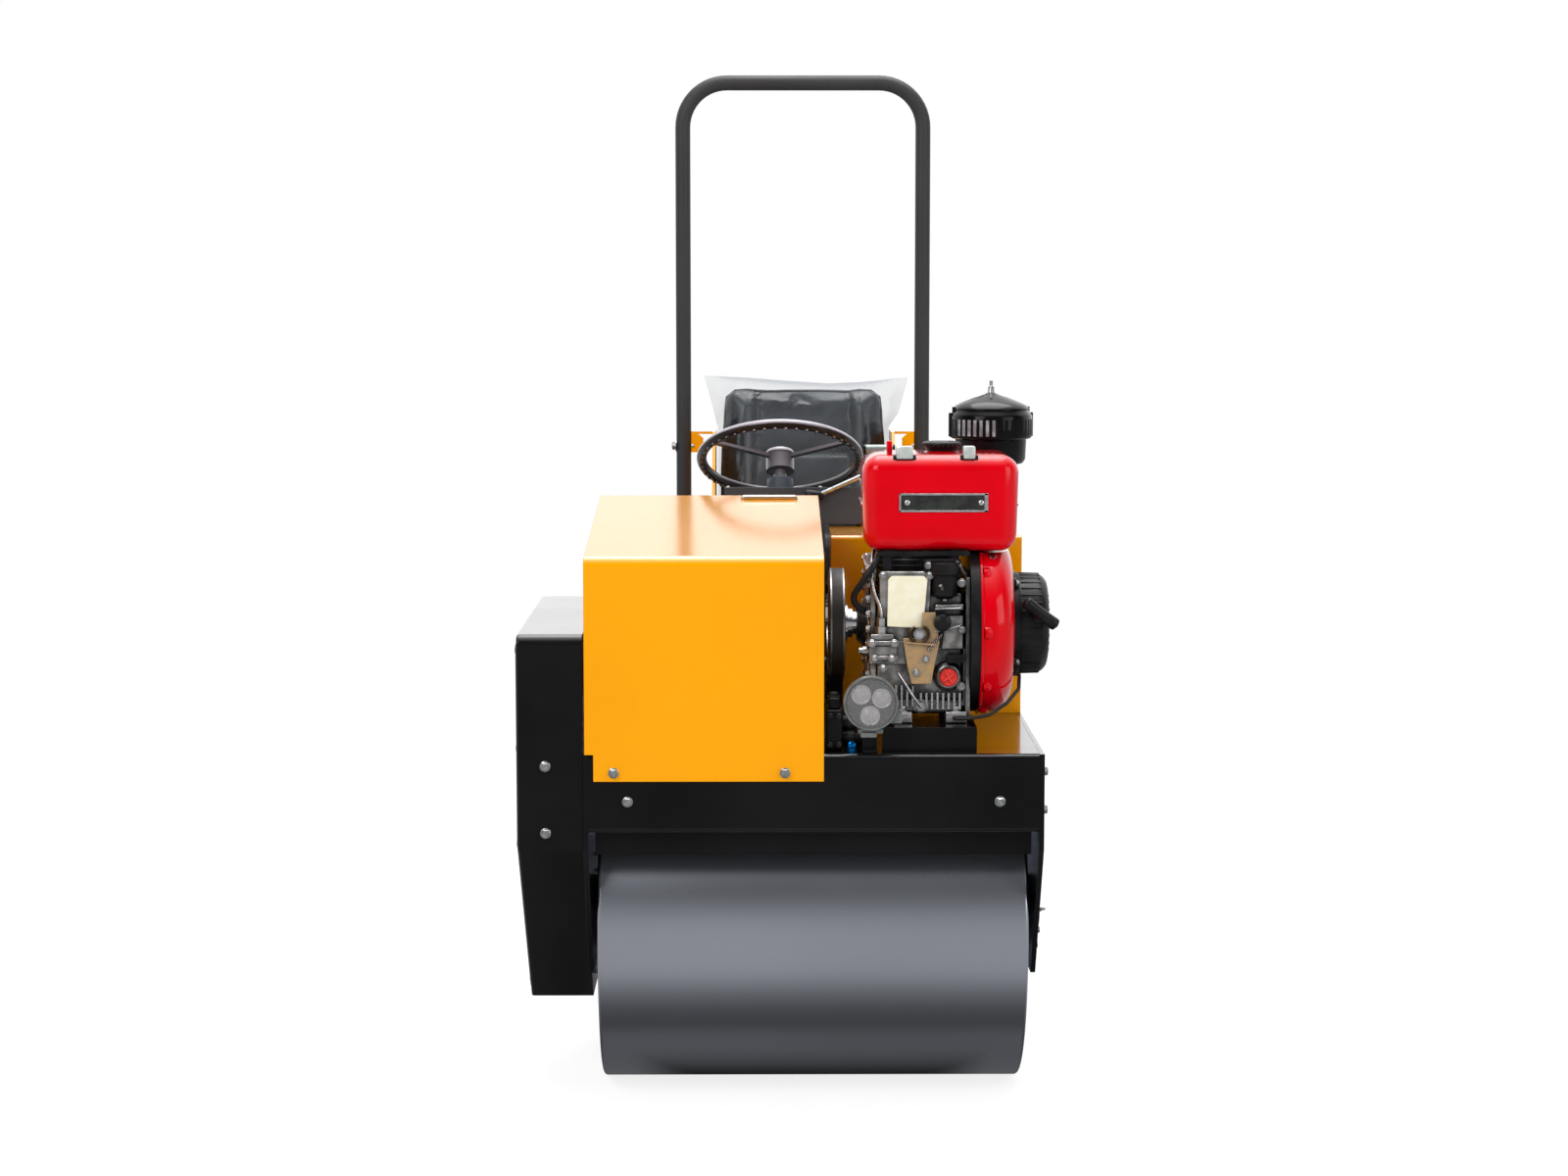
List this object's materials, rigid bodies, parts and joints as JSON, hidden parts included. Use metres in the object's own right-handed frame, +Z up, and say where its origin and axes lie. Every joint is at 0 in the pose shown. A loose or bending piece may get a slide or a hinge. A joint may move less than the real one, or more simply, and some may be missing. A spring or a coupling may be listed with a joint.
{
  "type": "small ride-on articulated tandem road roller",
  "caption": "Ride-on tandem road roller with an articulated frame, wide front drum, narrow rear drum, open diesel engine, covered belt drive, seat and roll hoop.",
  "frame": {"origin": "on the ground, under the middle of the machine's box", "axes": "+Z up, +Y backward from the front drum to the seat, +X to the driver's left; the machine faces -Y"},
  "size_m": [0.875, 1.644, 1.755],
  "materials": {
    "frame_black": "satin black paint",
    "machine_yellow": "glossy orange-yellow enamel",
    "drum_steel": "rolled steel with a dark metallic paint",
    "engine_cast": "die-cast",
    "engine_red": "glossy red enamel",
    "engine_black": "moulded and painted black",
    "machined_iron": "painted castings",
    "bright_steel": "plated",
    "console_grey": "dark grey paint",
    "wheel_plastic": "moulded",
    "belt_rubber": "V-belt",
    "seat_vinyl": "vinyl",
    "water_plastic": "roto-moulded",
    "lamp_silver": "cast lamp body"
  },
  "bodies": {
    "front_frame": {"air_filter": "engine_black", "backplate": "engine_black", "belt_cover": "machine_yellow", "chain_case": "frame_black", "console": "console_grey", "cylinder_head": "engine_cast", "deck": "frame_black", "drive_belt": "belt_rubber", "drive_lever": "bright_steel", "engine_bed": "frame_black", "engine_block": "engine_cast", "engine_pulley": "machined_iron", "engine_shaft": "machined_iron", "fan_shroud": "engine_red", "front_beam": "frame_black", "front_crossmember": "frame_black", "front_hub_left": "machined_iron", "front_hub_right": "machined_iron", "front_plate_left": "frame_black", "front_plate_right": "frame_black", "front_scraper": "frame_black", "fuel_tank": "engine_red", "generator_wire": "belt_rubber", "headlight": "lamp_silver", "muffler": "engine_black", "oil_tank": "machine_yellow", "pivot_clevis": "frame_black", "pump": "machined_iron", "pump_pulley": "machined_iron", "ram_bracket_front": "frame_black", "recoil_starter": "engine_black", "starter_grip": "engine_black", "steering_column": "console_grey", "tank_cap": "engine_black"},
    "front_drum": {"front_drum": "drum_steel"},
    "rear_drum": {"rear_drum": "drum_steel"},
    "steering_wheel": {"steering_wheel": "wheel_plastic"},
    "ram_barrel": {"ram_barrel": "machined_iron"},
    "ram_rod": {"ram_rod": "bright_steel"},
    "rear_frame": {"pivot_neck": "frame_black", "ram_bracket_rear": "frame_black", "rear_plate_right": "frame_black", "rear_plate_left": "frame_black", "rear_bulkhead": "frame_black", "rear_crossmember": "frame_black", "footplate_right": "frame_black", "footplate_left": "frame_black", "seat_box": "machine_yellow", "water_tank": "water_plastic", "hoop": "frame_black", "rear_deck": "frame_black", "seat_pan": "frame_black", "seat_guard_right": "machine_yellow", "seat_guard_left": "machine_yellow", "seat_cushion": "seat_vinyl", "seat_back": "seat_vinyl", "rear_hub_right": "machined_iron", "rear_hub_left": "machined_iron"}
  },
  "joints": [
    {"name": "front_drum_spin", "type": "hinge", "parent": "front_frame", "child": "front_drum", "pos_m": [0.0355, -0.47, 0.28], "axis": [1, 0, 0], "continuous": true},
    {"name": "articulation", "type": "hinge", "parent": "front_frame", "child": "rear_frame", "pos_m": [0.0355, 0.055, 0.425], "axis": [0, 0, 1], "range_deg": [-25, 25]},
    {"name": "rear_drum_spin", "type": "hinge", "parent": "rear_frame", "child": "rear_drum", "pos_m": [0.0355, 0.54, 0.2125], "axis": [1, 0, 0], "continuous": true},
    {"name": "steering_wheel_turn", "type": "hinge", "parent": "front_frame", "child": "steering_wheel", "pos_m": [-0.0135, -0.03, 1.025], "axis": [0, 0.4848, 0.8746], "range_deg": [-540, 540]},
    {"name": "ram_swing", "type": "hinge", "parent": "front_frame", "child": "ram_barrel", "pos_m": [0.0145, -0.095, 0.545], "axis": [0, 0, 1], "range_deg": [-7.5, 7.5]},
    {"name": "ram_stroke", "type": "slide", "parent": "ram_barrel", "child": "ram_rod", "axis": [0.5198, 0.8543, 0], "range_m": [-0.0265, 0.0265]}
  ],
  "couplings": [
    {"joint": "steering_wheel_turn", "follows": "articulation", "ratio": -21.6},
    {"joint": "ram_swing", "follows": "articulation", "ratio": 0.28002},
    {"joint": "ram_stroke", "follows": "articulation", "m_per_rad": 0.059556}
  ]
}
